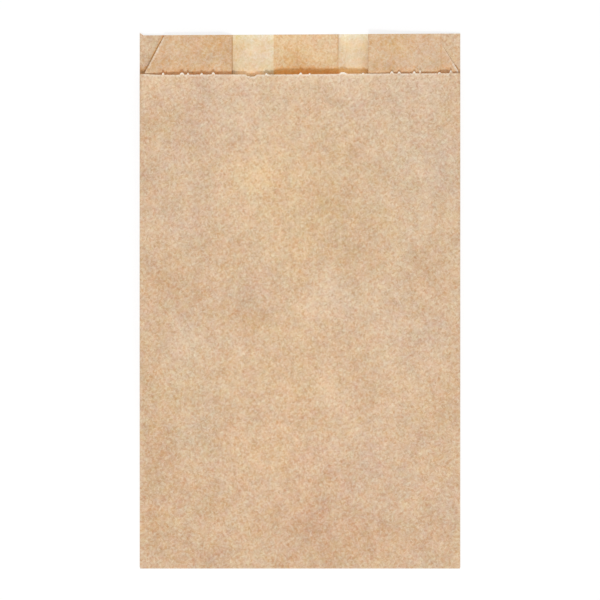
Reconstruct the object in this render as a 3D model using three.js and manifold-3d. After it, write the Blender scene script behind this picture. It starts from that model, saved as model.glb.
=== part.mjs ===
// A flat pastry bag, folded and pasted from one sheet of kraft paper, lying on its seamed back.
// Millimetres, +Z up. X runs across the bag, Y from the closed bottom to the mouth.
import * as THREE from 'three';
import loadManifold from 'manifold-3d';

// The bag as it lies
const BAG_WIDTH = 120;
const BAG_LENGTH = 200;
const LIP_HEIGHT = 15;
const GUSSET_DEPTH = 34.5;

// The paper and its pasted joints
const PAPER = 0.08;
const PASTE = 0.04;
const PASTE_MARGIN = 1.2;
const SEAM_INNER_EDGE = 14.4;
const SEAM_OVERLAP = 24.3;
const SEAM_RAMP = 4;
const TAB_INSET = 1.5;
const TAB_RAMP = 10;

// How far the folds have sprung open since the bag was pressed flat
const PRESSED_GAP = 0.12;
const CREASE_GAP = 0.9;
const POCKET_GAP = 1.9;
const INNER_FOLD_GAP = 0.5;
const CROWN = 1.8;
const RISE_LENGTH = 110;

// The stepped cut across the mouth: its slant, the corners it takes off the gussets, and its tears
const CUT_SLANT = 0.5;
const CUT_START = 1.5;
const LEFT_CUT_REACH = 9.3;
// The right corner is cut slanting as far as a knee, and on from there almost straight up
const RIGHT_KNEE_DEPTH = 6.6;
const RIGHT_KNEE_DROP = 4.6;
const RIGHT_KNEE_STEP = 0.3;
const NIB_HEIGHT = 0.9;
const NIB_WIDTH = 1.4;
// Each tear's place from the left fold, half its width, and how far it stands above the cut
const TEARS = [
  { at: 8.8, half: 0.5, rise: 0.8 },
  { at: 15.9, half: 0.9, rise: 0.8 },
  { at: 18.1, half: 0.45, rise: 0.75 },
  { at: 23.2, half: 0.5, rise: 0.55 },
  { at: 27.5, half: 0.65, rise: 0.85 },
  { at: 41.6, half: 2.2, rise: -0.8 },
  { at: 47.5, half: 0.55, rise: 0.5 },
  { at: 60.3, half: 0.65, rise: 0.6 },
  { at: 63.6, half: 0.5, rise: 0.4 },
  { at: 76, half: 1.5, rise: 0.6 },
  { at: 83.6, half: 0.5, rise: 0.35 },
  { at: 94.3, half: 0.65, rise: 0.85 },
  { at: 97.1, half: 0.6, rise: 0.7 },
  { at: 102.7, half: 0.6, rise: 0.75 },
  { at: 104.9, half: 0.4, rise: 1.3 },
  { at: 112.2, half: 0.6, rise: 0.75 },
  { at: 116.4, half: 0.55, rise: 1.1 },
];

// How finely the curves are divided
const BEND_STEPS = 6;
const RISE_STEPS = 7;
const CROWN_STEPS = 10;
const GUSSET_STEPS = 3;
// The crown's columns keep this far from the tears, and all columns share their rows from this far
// below the mouth
const CLEAR_OF_TEARS = 3;
const UNEVEN_LENGTH = 15;

const KRAFT = 0xd8ba99;

// Lines across the bag and edges along it
const HALF_WIDTH = BAG_WIDTH / 2;
const LIP_LINE = BAG_LENGTH / 2;
const MOUTH_LINE = LIP_LINE - LIP_HEIGHT;
const BOTTOM_LINE = -BAG_LENGTH / 2;
const SEAM_OUTER_EDGE = SEAM_INNER_EDGE - SEAM_OVERLAP;
// One stepped cut leaves the lip on this bag and the tab on the next one from the roll
const TAB_DEPTH = LIP_HEIGHT;
const TAB_LINE = BOTTOM_LINE + TAB_DEPTH;
// A ply pasted over another lies this much higher
const PLY_STEP = PAPER + PASTE;

const { clamp, lerp, smoothstep } = THREE.MathUtils;

// Heights of the paper's middle at one station along the bag, and the radii of its bends.
// The bag is pressed flat at the bottom and stands open at the mouth.
function section(y) {
  const open = smoothstep(y, BOTTOM_LINE, BOTTOM_LINE + RISE_LENGTH);
  const gap = (sprung) => lerp(PRESSED_GAP, sprung, open);
  const overTab = 1 - smoothstep(y, TAB_LINE, TAB_LINE + TAB_RAMP);
  const back = PAPER / 2 + PLY_STEP * overTab;
  // The back crease leaves room for the doubled ply of the seam
  const backBend = (PAPER + PLY_STEP + gap(CREASE_GAP)) / 2;
  const frontBend = (PAPER + gap(CREASE_GAP)) / 2;
  const innerBend = (PAPER + gap(INNER_FOLD_GAP)) / 2;
  const side = back + 2 * backBend + PAPER + gap(POCKET_GAP) + 2 * frontBend;
  const front = (x) => side + CROWN * open * (1 - (x / HALF_WIDTH) ** 2);
  return { back, backBend, frontBend, innerBend, front };
}

// Where the bends' centres lie, measured from the middle of the bag
const sideCentre = (bend) => HALF_WIDTH - PAPER / 2 - bend;
const innerCentre = (bend) => HALF_WIDTH - GUSSET_DEPTH + PAPER / 2 + bend;

// Upper ends of the paper
const slant = (x) => (CUT_SLANT * x) / BAG_WIDTH;

function lipTop(x) {
  const nib = NIB_HEIGHT * Math.max(0, 1 - (x + HALF_WIDTH) / NIB_WIDTH);
  return LIP_LINE + slant(x) + nib;
}

function mouthTop(x) {
  const tearAt = (tear) => tear.rise * Math.max(0, 1 - Math.abs(x + HALF_WIDTH - tear.at) / tear.half);
  return MOUTH_LINE + slant(x) + TEARS.reduce((sum, tear) => sum + tearAt(tear), 0);
}

// The corner that the cut takes off each gusset: depths, and heights above the mouth there
const LEFT_CORNER = [
  { depth: LEFT_CUT_REACH, rise: LIP_HEIGHT },
  { depth: CUT_START, rise: 0 },
];
const RIGHT_CORNER = [
  { depth: RIGHT_KNEE_DEPTH + RIGHT_KNEE_STEP, rise: LIP_HEIGHT },
  { depth: RIGHT_KNEE_DEPTH, rise: LIP_HEIGHT - RIGHT_KNEE_DROP },
  { depth: CUT_START, rise: 0 },
];

// A round bend of the sheet, from its lower ply to its upper one.
// outward is 1 where it bulges to the bag's side and -1 where it bulges to the middle.
function bend(side, outward, circle, top) {
  return Array.from({ length: BEND_STEPS + 1 }, (_, step) => {
    const angle = Math.PI * (step / BEND_STEPS - 0.5);
    const at = (heights) => {
      const { x, z, radius } = circle(heights);
      return [side * (x + outward * radius * Math.cos(angle)), z + radius * Math.sin(angle)];
    };
    return { at, top };
  });
}

// One side of the bag, from its back crease round the gusset to its front crease
function gussetSide(side) {
  const corner = side < 0 ? LEFT_CORNER : RIGHT_CORNER;
  const inward = (step) => (GUSSET_DEPTH * step) / GUSSET_STEPS;
  const backCrease = (h) => ({
    x: sideCentre(h.backBend),
    z: h.back + h.backBend,
    radius: h.backBend,
  });
  const innerFold = (h) => {
    const x = innerCentre(h.innerBend);
    return { x, z: h.front(x) - 2 * h.frontBend - h.innerBend, radius: h.innerBend };
  };
  const frontCrease = (h) => {
    const x = sideCentre(h.frontBend);
    return { x, z: h.front(x) - h.frontBend, radius: h.frontBend };
  };
  const backHalf = (depth) => {
    const x = HALF_WIDTH - depth;
    const at = (h) => {
      const from = backCrease(h);
      const to = innerFold(h);
      const along = (from.x - x) / (from.x - to.x);
      return [side * x, lerp(from.z + from.radius, to.z - to.radius, along)];
    };
    return { at, top: lipTop };
  };
  const frontHalf = ({ depth, rise }) => {
    const x = HALF_WIDTH - depth;
    const top = (place) => MOUTH_LINE + slant(place) + rise;
    return { at: (h) => [side * x, h.front(x) - 2 * h.frontBend], top };
  };
  const deepest = { depth: inward(GUSSET_STEPS - 1), rise: LIP_HEIGHT };
  return [
    ...bend(side, 1, backCrease, lipTop),
    ...[NIB_WIDTH, inward(1), inward(GUSSET_STEPS - 1)].map(backHalf),
    ...bend(side, -1, innerFold, lipTop),
    ...[deepest, ...corner].map(frontHalf),
    ...bend(side, 1, frontCrease, mouthTop),
  ];
}

// The back's two halves: the left one lies on the right one where they overlap
function backLeft(x) {
  const ramp = clamp((x - SEAM_OUTER_EDGE + SEAM_RAMP) / SEAM_RAMP, 0, 1);
  return { at: (h) => [x, h.back + PLY_STEP * ramp], top: lipTop };
}

function backRight(x) {
  return { at: (h) => [x, h.back], top: lipTop };
}

// Columns of the front panel: every corner of a tear, and between the tears enough for the crown
function frontColumns() {
  const tearCorners = TEARS.flatMap(({ at, half }) => [at - half, at, at + half]);
  const inside = (x) => Math.abs(x) < HALF_WIDTH - CUT_START;
  const corners = tearCorners.map((at) => at - HALF_WIDTH).filter(inside);
  const pitch = BAG_WIDTH / CROWN_STEPS;
  const even = Array.from({ length: CROWN_STEPS - 1 }, (_, step) => (step + 1) * pitch - HALF_WIDTH);
  const clear = (x) => corners.every((corner) => Math.abs(x - corner) > CLEAR_OF_TEARS);
  const columns = [...corners, ...even.filter(clear)].sort((a, b) => a - b);
  return columns.map((x) => ({ at: (h) => [x, h.front(x)], top: mouthTop }));
}

// The sheet's columns in order, from the seam's inner edge round the bag to its outer edge
const leftSide = gussetSide(-1);
const front = frontColumns();
const rightSide = gussetSide(1).reverse();
const seamLeft = [SEAM_INNER_EDGE, SEAM_OUTER_EDGE, SEAM_OUTER_EDGE - SEAM_RAMP, NIB_WIDTH - HALF_WIDTH];
const columns = [
  ...seamLeft.map(backLeft),
  ...leftSide,
  ...front,
  ...rightSide,
  backRight(SEAM_OUTER_EDGE),
];
const firstTabColumn = seamLeft.length + leftSide.length - 1;
const lastTabColumn = firstTabColumn + front.length + 1;

// The bottom fold: the front panel turns under the other plies and runs on as the tab
const tabHeight = PAPER / 2;
const bottomBend = (section(BOTTOM_LINE).front(0) - tabHeight) / 2;
const FOLD_LINE = BOTTOM_LINE + PAPER / 2 + bottomBend;

// Stations along the bag from below the mouth down to the bottom fold
function stations() {
  const riseEnd = BOTTOM_LINE + RISE_LENGTH;
  const rampEnd = TAB_LINE + TAB_RAMP;
  const rise = Array.from({ length: RISE_STEPS }, (_, step) => lerp(riseEnd, rampEnd, step / RISE_STEPS));
  return [MOUTH_LINE - UNEVEN_LENGTH, ...rise, rampEnd, TAB_LINE, FOLD_LINE];
}

// A node of the sheet: a point in the middle of the paper, and the direction out of the bag there
function sheetNode(column, y) {
  const heights = section(y);
  const spot = (index) => columns[clamp(index, 0, columns.length - 1)].at(heights);
  const [x, z] = spot(column);
  const before = spot(column - 1);
  const after = spot(column + 1);
  const out = new THREE.Vector3(before[1] - after[1], 0, after[0] - before[0]).normalize();
  return { point: new THREE.Vector3(x, y, z), out };
}

function tabNodes(column) {
  const [x] = columns[column].at(section(FOLD_LINE));
  const turn = Array.from({ length: BEND_STEPS }, (_, step) => {
    const angle = Math.PI * (0.5 + (step + 1) / BEND_STEPS);
    const out = new THREE.Vector3(0, Math.cos(angle), Math.sin(angle));
    const centre = new THREE.Vector3(x, FOLD_LINE, tabHeight + bottomBend);
    return { point: centre.addScaledVector(out, bottomBend), out };
  });
  const edge = new THREE.Vector3(x * (1 - TAB_INSET / HALF_WIDTH), TAB_LINE, tabHeight);
  return [...turn, { point: edge, out: new THREE.Vector3(0, 0, -1) }];
}

function sheetColumn({ at, top }, column) {
  const mouthSection = section(LIP_LINE);
  const end = top(at(mouthSection)[0]);
  const nodes = [end, ...stations()].map((y) => sheetNode(column, y));
  const hasTab = column >= firstTabColumn && column <= lastTabColumn;
  return hasTab ? [...nodes, ...tabNodes(column)] : nodes;
}

// A closed sheet of even thickness round a grid of nodes. Columns may have different lengths.
function thickSheet(grid, thickness) {
  const points = [];
  const triangles = [];
  const numbers = grid.map((column) => column.map(({ point, out }) => {
    points.push(point.clone().addScaledVector(out, thickness / 2));
    points.push(point.clone().addScaledVector(out, -thickness / 2));
    return points.length - 2;
  }));
  const quad = (a, b, c, d) => triangles.push([a, b, c], [a, c, d]);
  const filled = (i, j) => i >= 0 && j >= 0
    && numbers[i]?.[j + 1] !== undefined && numbers[i + 1]?.[j + 1] !== undefined;
  const cell = (i, j) => {
    const [a, b, c, d] = [numbers[i][j], numbers[i][j + 1], numbers[i + 1][j + 1], numbers[i + 1][j]];
    quad(a, b, c, d);
    triangles.push([a + 1, c + 1, b + 1], [a + 1, d + 1, c + 1]);
    const rim = (from, to) => quad(to, from, from + 1, to + 1);
    if (!filled(i - 1, j)) rim(a, b);
    if (!filled(i, j + 1)) rim(b, c);
    if (!filled(i + 1, j)) rim(c, d);
    if (!filled(i, j - 1)) rim(d, a);
  };
  for (let i = 0; i < grid.length - 1; i += 1) {
    for (let j = 0; j < grid[i].length - 1; j += 1) {
      if (filled(i, j)) cell(i, j);
    }
  }
  return { points, triangles };
}

// Films of paste that bond two plies, sunk a little into both
const filmThickness = PASTE + PAPER / 2;
const flatNode = (x, y, z) => ({ point: new THREE.Vector3(x, y, z), out: new THREE.Vector3(0, 0, -1) });

function seamPaste() {
  const ends = [SEAM_INNER_EDGE - PASTE_MARGIN, SEAM_OUTER_EDGE + PASTE_MARGIN];
  const rows = [LIP_LINE - PASTE_MARGIN, ...stations().slice(0, -1), FOLD_LINE + PASTE_MARGIN];
  const height = (y) => section(y).back + PLY_STEP / 2;
  return thickSheet(ends.map((x) => rows.map((y) => flatNode(x, y, height(y)))), filmThickness);
}

function tabPaste() {
  const reach = HALF_WIDTH - TAB_INSET - 2 * PASTE_MARGIN;
  const rows = [TAB_LINE - PASTE_MARGIN, FOLD_LINE + PASTE_MARGIN];
  const height = PAPER + PASTE / 2;
  return thickSheet([reach, -reach].map((x) => rows.map((y) => flatNode(x, y, height))), filmThickness);
}

const wasm = await loadManifold();
wasm.setup();

function solid({ points, triangles }) {
  const vertProperties = new Float32Array(points.flatMap((point) => point.toArray()));
  const triVerts = new Uint32Array(triangles.flat());
  return new wasm.Manifold(new wasm.Mesh({ numProp: 3, vertProperties, triVerts }));
}

function geometry(body) {
  const mesh = body.getMesh();
  const result = new THREE.BufferGeometry();
  result.setAttribute('position', new THREE.BufferAttribute(mesh.vertProperties, mesh.numProp));
  result.setIndex(new THREE.BufferAttribute(mesh.triVerts, 1));
  result.computeVertexNormals();
  return result;
}

const sheet = solid(thickSheet(columns.map(sheetColumn), PAPER));
const pasted = sheet.add(solid(seamPaste())).add(solid(tabPaste()));

const kraftPaper = new THREE.MeshStandardMaterial({ color: KRAFT, roughness: 0.9, metalness: 0 });
const paperBag = new THREE.Mesh(geometry(pasted), kraftPaper);
paperBag.name = 'paper_bag';

const bag = new THREE.Group();
bag.add(paperBag);

export default bag;
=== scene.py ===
"""A flat pastry bag, folded and pasted from one sheet of kraft paper, lying on a pale floor.

Metres, +Z up. X runs across the bag, Y from the closed bottom to the mouth.
"""

import math
from collections import namedtuple
from functools import partial
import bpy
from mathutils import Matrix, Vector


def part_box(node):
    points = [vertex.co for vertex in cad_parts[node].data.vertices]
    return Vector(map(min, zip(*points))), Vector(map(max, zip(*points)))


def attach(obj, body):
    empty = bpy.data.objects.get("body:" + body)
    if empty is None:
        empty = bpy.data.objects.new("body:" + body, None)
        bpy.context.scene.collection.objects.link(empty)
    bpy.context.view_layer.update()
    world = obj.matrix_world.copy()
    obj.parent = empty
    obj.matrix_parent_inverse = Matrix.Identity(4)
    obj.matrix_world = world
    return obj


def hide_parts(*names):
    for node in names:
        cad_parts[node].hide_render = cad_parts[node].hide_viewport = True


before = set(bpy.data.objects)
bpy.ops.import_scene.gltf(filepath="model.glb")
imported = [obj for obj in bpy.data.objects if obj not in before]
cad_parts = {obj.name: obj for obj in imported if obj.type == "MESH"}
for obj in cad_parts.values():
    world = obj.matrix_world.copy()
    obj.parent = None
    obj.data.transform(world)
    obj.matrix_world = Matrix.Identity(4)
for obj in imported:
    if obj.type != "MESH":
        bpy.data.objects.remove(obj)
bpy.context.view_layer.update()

from types import SimpleNamespace

import bpy
import numpy as np
from mathutils import Vector

bl_info = {
    "name": "Kraft pastry bag",
    "version": (1, 0, 0),
    "blender": (4, 5, 0),
    "location": "3D View > Sidebar > Pastry bag",
    "description": "Folds a gusseted bag from one sheet of kraft paper and sets it on a pale floor",
    "category": "Add Mesh",
}

BAG_LOW, BAG_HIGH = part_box("paper_bag")
MM = 0.001

# Tears along the mouth's cut, in millimetres: place from the left fold, reach to its left and to
# its right, height above the cut
TEARS = (
    (8.8, 0.5, 0.5, 0.8),
    (15.8, 0.8, 1.0, 0.8),
    (18.1, 0.45, 0.45, 0.75),
    (23.2, 0.5, 0.5, 0.55),
    (27.5, 0.6, 0.7, 0.85),
    (40.3, 0.5, 3.4, -0.45),
    (43.0, 3.2, 0.9, -0.45),
    (47.5, 0.6, 0.5, 0.5),
    (60.3, 0.7, 0.6, 0.6),
    (63.6, 0.5, 0.5, 0.4),
    (76.0, 1.4, 1.6, 0.6),
    (83.6, 0.5, 0.5, 0.35),
    (94.3, 0.6, 0.7, 0.85),
    (97.1, 0.6, 0.6, 0.7),
    (102.7, 0.6, 0.6, 0.75),
    (104.9, 0.35, 0.4, 1.3),
    (112.2, 0.6, 0.6, 0.45),
    (116.4, 0.5, 0.6, 1.1),
)
TALLEST_TEAR = max(height for *_, height in TEARS)
# How round the tears' ends are: 1 for a point, more for a blunt end
TEAR_ROUNDNESS = 2.2
# Soft stains on the front, with painted shade in the darker ones along its sides and bottom: place
# from the middle and radius in millimetres, lightness, warmth, and pinkness where there is any
STAINS_AND_SHADE = (
    (-17.6, 68.0, 9.0, 0.1, -0.02),
    (-15.8, 47.0, 9.0, 0.07, 0.06),
    (-12.0, 50.0, 18.0, 0.06, 0.02),
    (-37.0, 66.0, 12.0, 0.01, -0.04),
    (19.0, 72.0, 7.0, 0.08, -0.04),
    (-44.0, 29.0, 8.0, 0.06, -0.06),
    (4.0, 31.0, 22.0, 0.0, 0.06, -0.012),
    (-3.0, 33.0, 9.0, 0.05, 0.0),
    (10.5, 40.0, 7.0, -0.08, 0.0),
    (19.0, 29.0, 7.0, -0.05, 0.0),
    (44.0, 29.0, 8.0, 0.05, -0.03),
    (10.5, 4.0, 7.0, 0.09, -0.05),
    (37.0, -7.0, 12.0, 0.03, -0.05),
    (-19.5, -8.0, 7.0, -0.09, 0.02),
    (-43.0, -14.0, 9.0, 0.07, -0.05),
    (-52.0, 5.0, 12.0, -0.07, 0.02),
    (44.0, 12.0, 8.0, -0.04, 0.0),
    (44.0, 42.0, 28.0, 0.01, 0.0, -0.016),
    (50.0, 50.0, 13.0, 0.02, -0.08),
    (20.0, -46.0, 10.0, 0.02, -0.02),
    (-16.0, -61.0, 9.0, 0.05, 0.04),
    (3.0, -38.0, 24.0, 0.0, 0.03),
    (3.0, -66.0, 26.0, -0.02, 0.0, 0.018),
    (-5.0, -20.0, 13.0, 0.05, 0.02),
    (-55.0, -55.0, 10.0, -0.09, 0.02),
    (-57.0, -80.0, 14.0, -0.08, 0.02),
    (8.5, -84.0, 9.0, -0.08, 0.0, 0.015),
    (22.0, -92.0, 12.0, -0.05, 0.02, 0.01),
    (-38.0, -50.0, 9.0, -0.04, -0.03, -0.02),
    (-45.0, -30.0, 12.0, 0.02, 0.0, -0.026),
    (26.0, -63.0, 14.0, 0.0, -0.06),
    (-34.0, 81.0, 16.0, -0.02, -0.03, 0.01),
    (40.0, 79.0, 16.0, 0.03, -0.06),
    (-20.0, -102.0, 26.0, -0.1, 0.01),
    (-20.0, -94.0, 9.0, 0.12, 0.0),
    (35.0, -102.0, 22.0, -0.05, 0.0),
    (55.0, -80.0, 9.0, -0.07, -0.05),
    (-64.0, -35.0, 14.0, -0.07, 0.02),
    (-64.0, 40.0, 14.0, -0.07, 0.0),
    (64.0, -44.0, 16.0, -0.04, 0.0),
    (64.0, 14.0, 10.0, -0.03, 0.0),
    (13.5, -36.0, 6.0, 0.07, 0.0),
    (35.0, 23.0, 6.0, 0.05, 0.0),
    (12.0, 21.0, 7.0, -0.05, -0.03),
    (0.0, 82.0, 20.0, 0.0, -0.02),
    (6.0, 66.0, 6.0, 0.04, 0.05),
    (-50.0, 42.0, 20.0, 0.02, -0.02),
    (29.0, 53.0, 7.0, 0.04, -0.02),
    (14.0, 0.0, 14.0, 0.03, 0.0),
    (-16.0, 4.0, 5.0, 0.0, -0.06),
    (16.0, -3.0, 6.0, 0.0, -0.06),
    (48.0, -14.0, 8.0, 0.0, -0.05),
)
# Painted shade in rows beside the gussets' inner folds: heights and radius in millimetres, and for
# each fold its place from the middle, lightness and warmth
FOLD_SHADE_ROWS = (87.0, 90.5, 94.0, 97.5)
FOLD_SHADE_RADIUS = 1.8
FOLD_SHADES = ((24.9, 0.0, 0.05), (-24.6, -0.03, 0.03))
# Stains on the inside of the back and of the gussets, at the lip, in the front's terms, and
# the painted shade beside the folds
LIP_STAINS_AND_SHADE = (
    (-22.5, 90.0, 4.0, -0.03, 0.02),
    (-16.5, 95.0, 4.0, 0.04, -0.01),
    (-8.0, 92.0, 4.5, 0.01, -0.05),
    (2.0, 97.0, 4.0, 0.02, 0.0),
    (8.0, 92.0, 5.0, 0.03, -0.03),
    (17.0, 98.0, 4.0, 0.03, 0.0),
    (12.0, 95.0, 4.5, 0.05, -0.08),
    (8.0, 98.5, 4.0, 0.03, -0.02),
    (17.0, 94.5, 3.0, -0.06, 0.06),
    (18.5, 91.0, 4.0, 0.0, -0.06),
    (-17.5, 91.5, 4.0, 0.0, -0.06),
    (-3.2, 91.5, 3.8, -0.08, 0.1),
    (-1.5, 98.5, 4.0, 0.04, -0.05),
    (-30.5, 97.0, 5.0, -0.03, 0.1),
    (-32.0, 92.0, 3.5, 0.05, -0.06),
    (-33.5, 96.0, 2.5, -0.04, 0.05),
    (-22.5, 99.0, 3.5, -0.06, 0.07),
    (23.8, 93.0, 4.0, 0.07, -0.04),
    (49.0, 93.0, 5.0, 0.045, -0.09),
    (50.0, 95.8, 3.0, 0.01, -0.06),
    (39.5, 91.5, 4.0, 0.03, -0.05),
    (43.5, 90.0, 4.5, 0.04, -0.03),
    (36.5, 96.0, 4.5, -0.03, 0.07),
    *(
        (x, y, FOLD_SHADE_RADIUS, lightness, warmth)
        for y in FOLD_SHADE_ROWS for x, lightness, warmth in FOLD_SHADES
    ),
)
# The face that takes stains and painted shade in each zone, 0 for the outside and 1 for the inside,
# and its table of them
STAINED_AND_SHADED = {"front": (0, STAINS_AND_SHADE), "back": (1, LIP_STAINS_AND_SHADE), "gusset_front": (1, LIP_STAINS_AND_SHADE)}
# How much paler the paper inside a gusset is drawn: painted light against the shade in the pocket
POCKET_PAINTED_LIGHT = 0.04
# Shallow waves of the opened front: wavelengths across and along in millimetres, share, phase
COCKLES = (
    (94.0, 142.0, 0.45, 0.7),
    (-58.0, 106.0, 0.3, 2.1),
    (166.0, -74.0, 0.25, 4.0),
)
# Waves of the cut's unevenness: radians for each millimetre, phase
RAGGED_WAVES = ((2.9, 0.4), (5.3, 1.7), (8.7, 0.0))

# Flaps of the front's edge between its tears, bent up, in millimetres: place from the left fold,
# half width, height, length
FLAPS = (
    (114.4, 2.4, 1.8, 4.0),
    (118.1, 1.25, 0.7, 3.0),
)
# A hollow of the front's edge beside the left gusset, in the same terms
HOLLOW = (42.0, 11.5, 2.5, 30.0)
# Shallow dips of the front's cut, in millimetres: place from the left fold, half width, depth
DIPS = ((57.0, 19.0, 0.13), (0.0, 6.5, -0.33))
# Dark lines on the lip's paper, pressed lines and painted shade along the left gusset's inner fold
# and the seam's loose edge: place from the middle, half width and reach from the top in
# millimetres, strength
STREAKS_AND_SHADE = (
    (-25.4, 0.35, 20.0, 0.7),
    (-1.1, 0.35, 15.0, 0.25),
    (14.2, 0.3, 9.0, 0.45),
    (52.8, 0.4, 14.0, 0.3),
)
# Where a dark line ends and where it is still full, as shares of its reach
STREAK_FADE = (1.3, 0.7)
# Share of the lip down which the seam's inner edge has come loose
SEAM_LOOSE = 0.7
# A tear that is laid bare in full, in millimetres above the cut
BARE_TEAR = 0.4
# Along the right gusset's cut, in millimetres above the mouth: where it comes to be ripped and
# where it comes to be pale, with bare fibres and a painted highlight, from not at all to in full,
# and the reach of its torn tip; how pale it is further up, and how ripped it and its tip are
RIPPED_FROM = (0.6, 1.3)
BARE_AND_HIGHLIGHT_UP_TO = (4.6, 3.8)
TIP_REACH = 0.5
UPPER_BARE_AND_HIGHLIGHT = 0.25
RIPPED = 0.3
TIP_RIPPED = 0.5
# Painted light along the front's cut, in place of light that comes in at the mouth and glows
# through
# the front: its strength at the edge between the gussets, over the left one and over the right one;
# in millimetres, its reach and how far to each side of a gusset's inner fold it changes
PAINTED_MOUTH_GLOW = (0.21, 0.14, 0.055)
GLOW_REACH = 5.5
GLOW_FADE = 2.0
# How far painted shade reaches beyond an edge that covers the paper, for each millimetre of the gap
# between them: beyond the front's cut, and beyond the cut of a gusset
SHADE_REACH = 0.48
CUT_SHADE_REACH = 0.36
# How much wider the left gusset's shade is at the crease, and over what depth in millimetres; reach
# of the right one's, in millimetres
CREASE_SHADE = 0.8
CREASE_SHADE_DEPTH = 2.2
HOOK_REACH = 0.8
# In millimetres, the widest gap that the shade on a gusset answers to, and the gap below which the
# single ply is shaded less
GUSSET_GAP = 2.9
AIRY_GAP = 4.8
# Places beside a covering edge, in reaches of its shade: from where to where the paper takes
# painted warm light and painted shade, and from where to where the painted shade sets in under the
# cover;
# and a place that no shade reaches
PAINTED_WARMTH = (3.5, 1.2)
SHADED = (1.45, 0.5)
UNDER_COVER = (-2.8, -0.9)
CLEAR = 9.0
# How far the pulp makes a shade's end wander, in the same terms
SHADE_WANDER = 0.5
# In millimetres below the lip's top: from where to where the corners' shade ends, and the single
# ply pales
CORNER_SHADE = (12.0, 10.5)
PALE_TOP = (4.0, 0.0)

# How finely the sheet is divided: pitches in millimetres, and the steps of a bend
FLAT_PITCH = 2.4
CUT_PITCH = 0.55
TEAR_PITCH = 0.2
LINE_PITCH = 0.1
ROW_PITCH = 3.6
BEND_STEPS = 10
# How far a gusset's plies stay apart, for each millimetre of the radius of the fold between them
PLIES_APART = 1.1
# Rows along a cut edge, in millimetres from it, and how pale each one is drawn along a cut, with
# bare fibres and a painted highlight, and along a tear
EDGE_ROWS = np.array((0.0, 0.35, 0.9))
CUT_NEARNESS = np.array((0.5, 1.0, 0.0))
TORN_NEARNESS = np.array((1.0, 0.9, 0.0))
# Rows between a cut edge and the stations that all columns share, as shares of that stretch
BETWEEN_ROWS = np.array((0.06, 0.15, 0.25, 0.35, 0.5, 0.65, 1.0))
# Edges that turn further than this stay sharp
SHARP_TURN = math.radians(50)

# The key lamp: where it hangs, seen from the bag, and in metres how far away and how wide
KEY_FROM = (0.0, -0.42, 1.0)
KEY_AWAY = 2.0
KEY_WIDTH = 0.3
# The floor: how far below the bag it lies, in millimetres; what share of the light it throws back
# onto the bag; and where it is seen, what share it throws back and how brightly it shines itself
FLOOR_DROP = 0.05
FLOOR_GREY = 0.8
FLOOR_SEEN_GREY = 0.22
FLOOR_WHITE = 0.8

# Lamps for the light that soaks through the front beside the mouth: middle and sides in
# millimetres, tilt toward the mouth in radians, strength; the angle of their beams, and their
# colour
SOAKED = (
    ((-18.5, 83.6, 1.9), (10.0, 1.2), 0.93, 1.75),
    ((3.2, 83.6, 3.2), (23.0, 1.6), 0.66, 0.6),
    ((20.0, 83.6, 3.2), (11.0, 1.6), 0.85, 1.3),
)
SOAKED_BEAM = math.radians(70)
SOAKED_TINT = (1.0, 0.55, 0.25)

# How much the pulp's mottling changes red, green and blue: on the outside, on the inside and on a
# single ply; how broad lightness does, from stains, painted light and painted shade, how warmth
# does and how pinkness does
TONE_OUTSIDE = (0.5, 1.02, 1.38)
TONE_INSIDE = (0.34, 0.88, 1.5)
TONE_SINGLE = (0.27, 0.55, 1.1)
TONE_BROAD = (0.95, 1.27, 1.45)
WARM = (0.36, 0.0, -1.08)
PINK = (0.8, -0.4, 0.0)
# Noise in the paper: shift in millimetres, waves for each millimetre, detail, roughness, distortion
Noise = namedtuple("Noise", "shift waves detail roughness distortion", defaults=(2.0, 0.5, 0.0))
PULP = Noise((0.0, 0.0), 1.05, roughness=0.6, distortion=0.6)
FLOCKS = Noise((31.0, 7.0), 0.4, detail=1.0)
CLOUDS = Noise((5.0, 90.0), 0.06, roughness=1.0)
CURLS = Noise((11.0, 61.0), 0.45, distortion=1.6)
BREAKS = Noise((3.0, 17.0), 0.35)
WARM_FLOCKS = Noise((57.0, 23.0), 0.42, detail=1.0)
WARM_CLOUDS = Noise((19.0, 71.0), 0.09, roughness=0.7)
BLUSHES = Noise((43.0, 29.0), 0.12, detail=3.0, roughness=1.0)
# How much they show in the paper's tone, and its fibres, which the curls and breaks draw
PULP_SHOWN = 0.95
FLOCKS_SHOWN = 0.26
FIBRES_SHOWN = 0.08
CLOUDS_SHOWN = 0.295
WARM_FLOCKS_SHOWN = 0.18
WARM_CLOUDS_SHOWN = 0.16
BLUSHES_SHOWN = 0.2
# On the noise's scale: from where to where a fibre comes in toward its curl, and beyond a break
CURL_FADE = (0.03, 0.0)
BREAK_FADE = (0.0, 0.1)
# Shives, the brown specks: shift in millimetres, and their places for each millimetre both ways
Shives = namedtuple("Shives", "shift pitch")
SHIVES = (Shives((13.0, 41.0), (0.36, 0.95)), Shives((37.0, 5.0), (0.95, 0.36)))
# Share of the places that hold a shive, and from where to where it comes in, as shares of its place
SHIVE_CHANCE = 0.2
SHIVE_FADE = (0.34, 0.1)
# How strongly shives show on the outside, and what the inside and a single ply add to that
SHIVES_SHOWN = 0.3
SHIVES_INSIDE = -0.12
SHIVES_SINGLE = -0.14
# How pale a cut is, bare with a painted highlight; how much that follows the pulp; how bare a tear
# is
CUT_BARE_AND_HIGHLIGHT = 0.3
CUT_PATCHES = 0.8
TEAR_BARE = 0.56
# The surface: height of its relief in millimetres, share of the fibres in it, roughness and how
# much that follows the pulp, and gloss
RELIEF = 0.009
FIBRE_RELIEF = 0.3
ROUGHNESS = 0.82
ROUGH_PATCHES = 0.25
GLOSS = 0.25
# Angle of the paper's grain to the bag, in radians
GRAIN = 0.6
# How far the inside's pattern is shifted from the outside's, in millimetres
INSIDE_SHIFT = 700.0
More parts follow.
